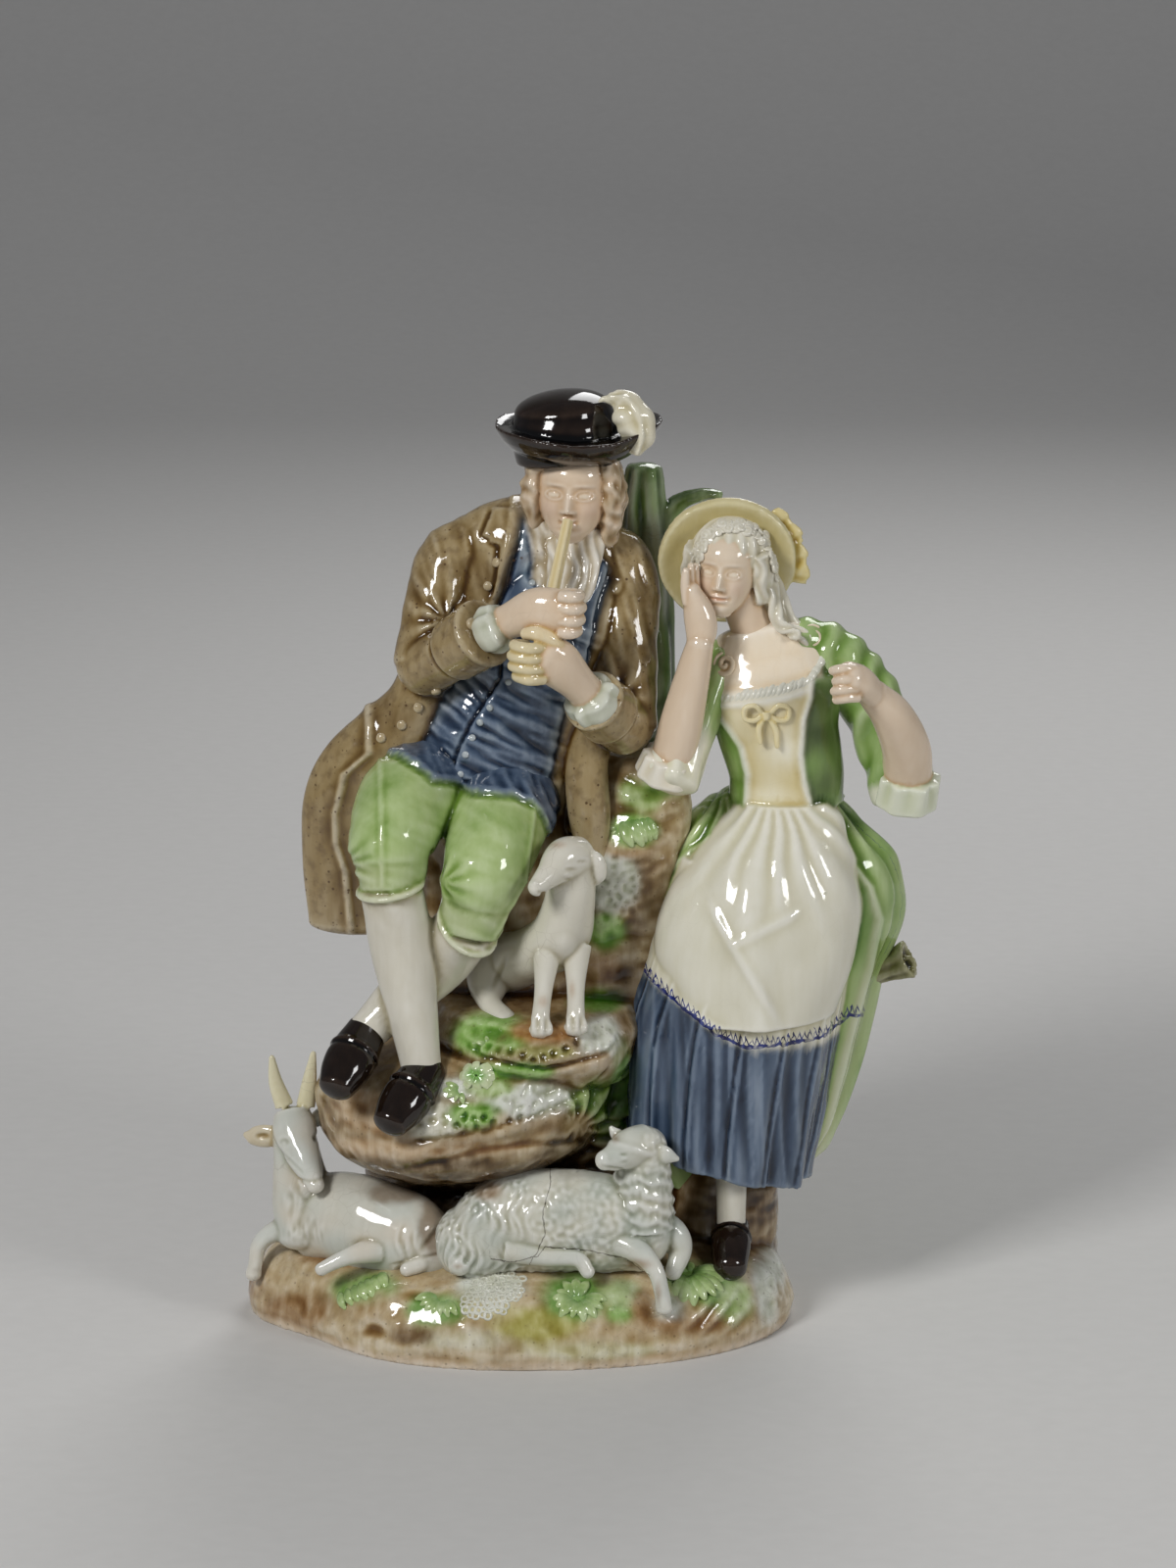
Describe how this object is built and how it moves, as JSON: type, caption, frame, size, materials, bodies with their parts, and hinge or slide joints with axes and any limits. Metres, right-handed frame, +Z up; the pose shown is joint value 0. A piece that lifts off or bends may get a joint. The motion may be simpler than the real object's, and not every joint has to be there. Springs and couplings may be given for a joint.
{
  "type": "glazed earthenware figure group",
  "caption": "Colour-glazed earthenware group: a seated piper and a leaning listener on a rocky mound, with a dog, a goat and a sheep.",
  "frame": {"origin": "middle of the whole group's footprint box, on the surface that the base stands on", "axes": "+Z up, -Y towards the viewer that both figures face, +X to that viewer's right"},
  "size_m": [0.1932, 0.0962, 0.2657],
  "materials": {
    "glazed_earthenware": "glossy coloured lead glazes over cream earthenware, pooled darker in the folds"
  },
  "bodies": {
    "root": {"figure_group": "glazed_earthenware"}
  },
  "joints": []
}
